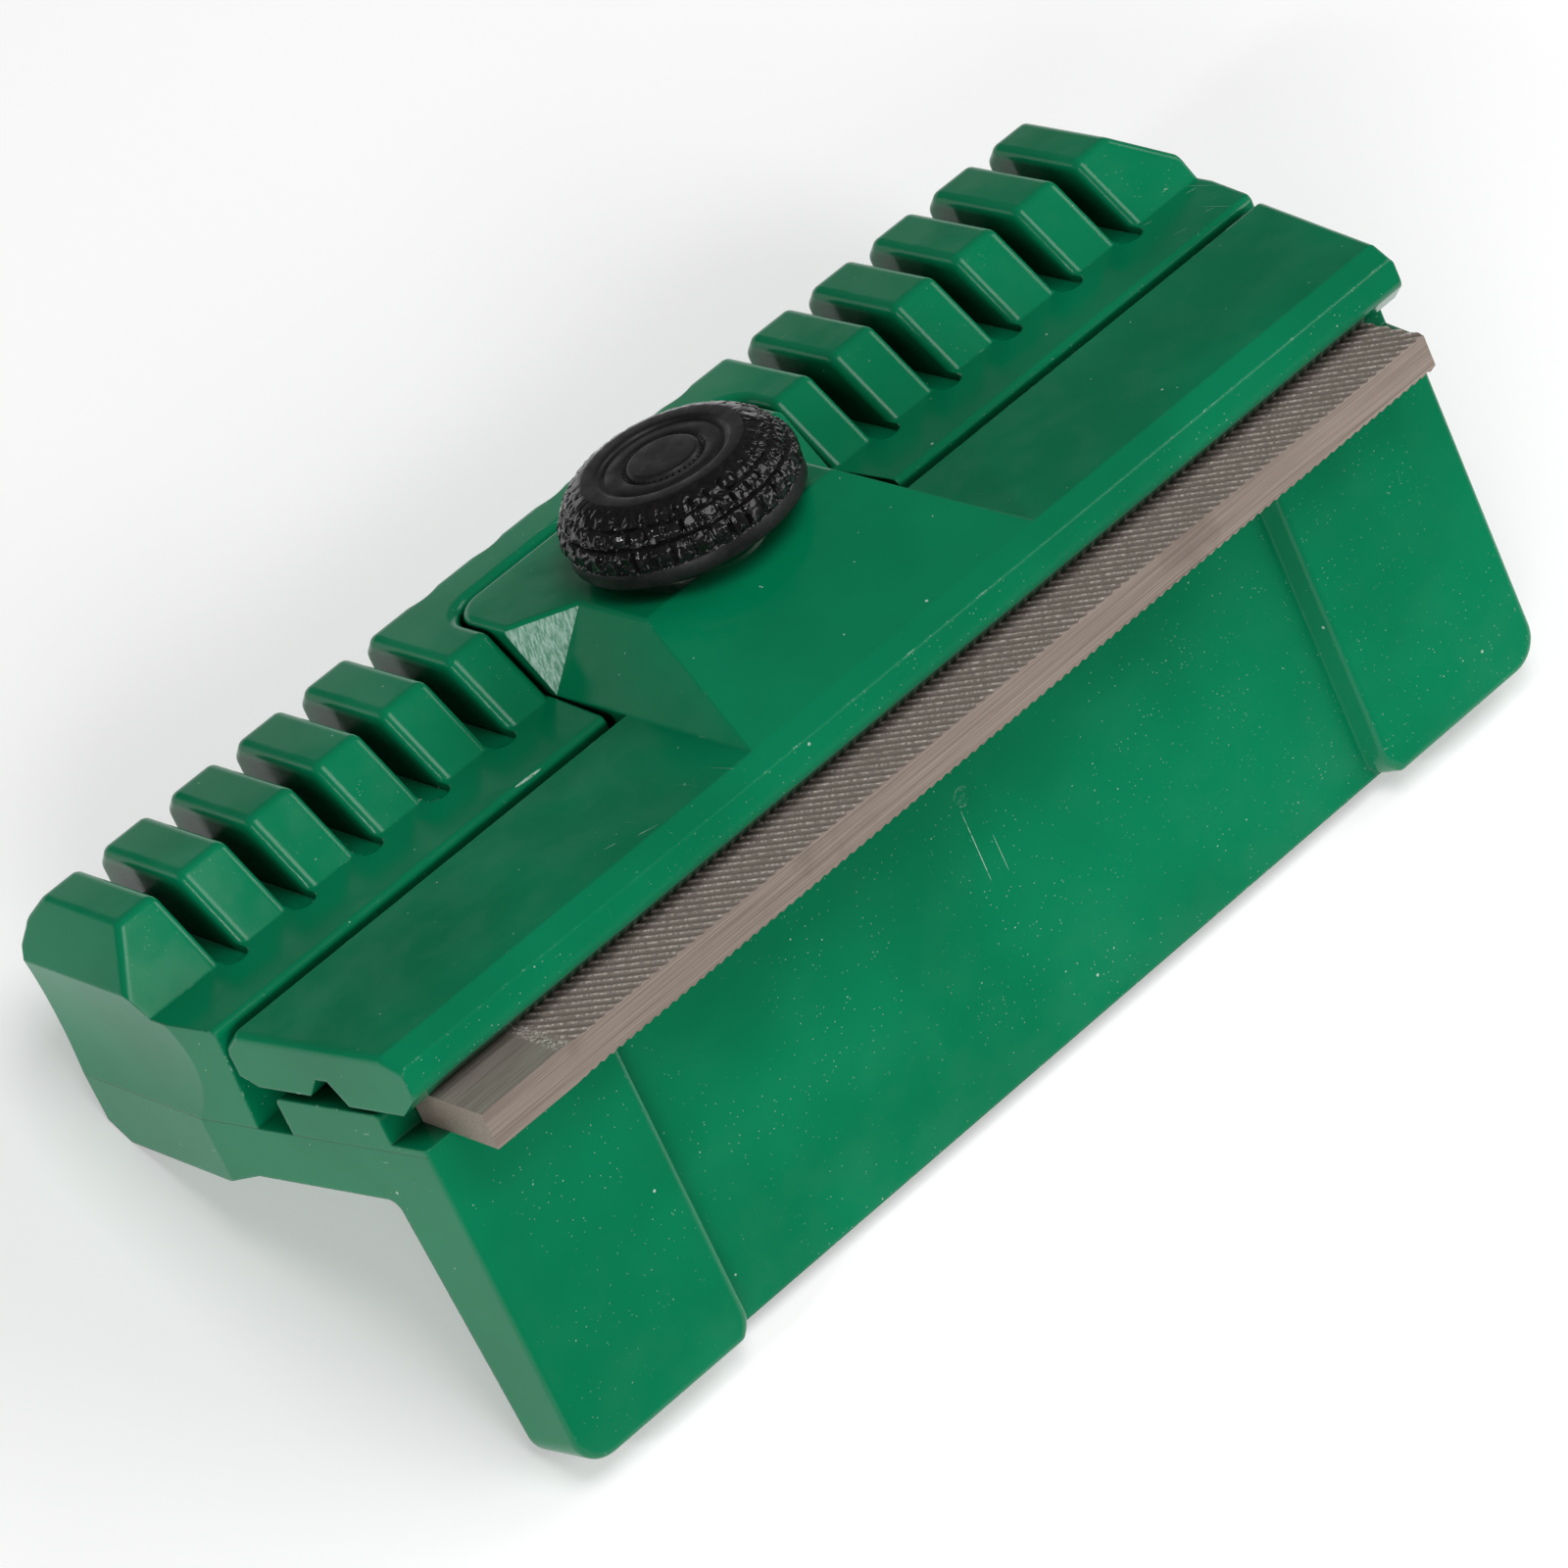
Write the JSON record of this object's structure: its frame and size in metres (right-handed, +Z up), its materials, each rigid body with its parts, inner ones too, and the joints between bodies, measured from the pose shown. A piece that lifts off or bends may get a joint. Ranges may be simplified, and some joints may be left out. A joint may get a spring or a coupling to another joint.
{
  "type": "file guide",
  "caption": "Moulded guide that clamps a flat file square to a fence, for dressing the rails of a saw's guide bar, with a clamp bar and a knurled thumb knob.",
  "frame": {"origin": "bottom centre of the bounding box, on the surface the tool rests on", "axes": "+X along the file towards its right end seen from the fence, +Y away from the fence's working face, +Z up. The tool rests leaned back by 35.5 degrees on the foot of the fence and the rear edge of the grip's underside."},
  "size_m": [0.161, 0.0832, 0.0523],
  "materials": {
    "green_plastic": "semi-gloss moulded, lightly scuffed",
    "file_steel": "dark toothed steel with bright edges",
    "black_plastic": "matte moulded",
    "plated_steel": "zinc plated"
  },
  "bodies": {
    "guide": {"guide_body": "green_plastic", "captive_nut": "plated_steel"},
    "cover": {"clamp_cover": "green_plastic", "washer": "plated_steel"},
    "file": {"flat_file": "file_steel"},
    "screw": {"knob": "black_plastic", "knob_stud": "plated_steel"}
  },
  "joints": [
    {"name": "cover_lift", "type": "slide", "parent": "guide", "child": "cover", "axis": [0, 0.5812, 0.8137], "range_m": [0, 0.003]},
    {"name": "knob_turn", "type": "hinge", "parent": "cover", "child": "screw", "pos_m": [0, 0.02039, 0.03969], "axis": [0, 0.5812, 0.8137], "range_deg": [0, 1080]},
    {"name": "file_slide", "type": "slide", "parent": "guide", "child": "file", "axis": [1, 0, 0], "range_m": [-0.04, 0.04]}
  ],
  "couplings": [
    {"joint": "knob_turn", "follows": "cover_lift", "rad_per_m": 6283.2}
  ]
}
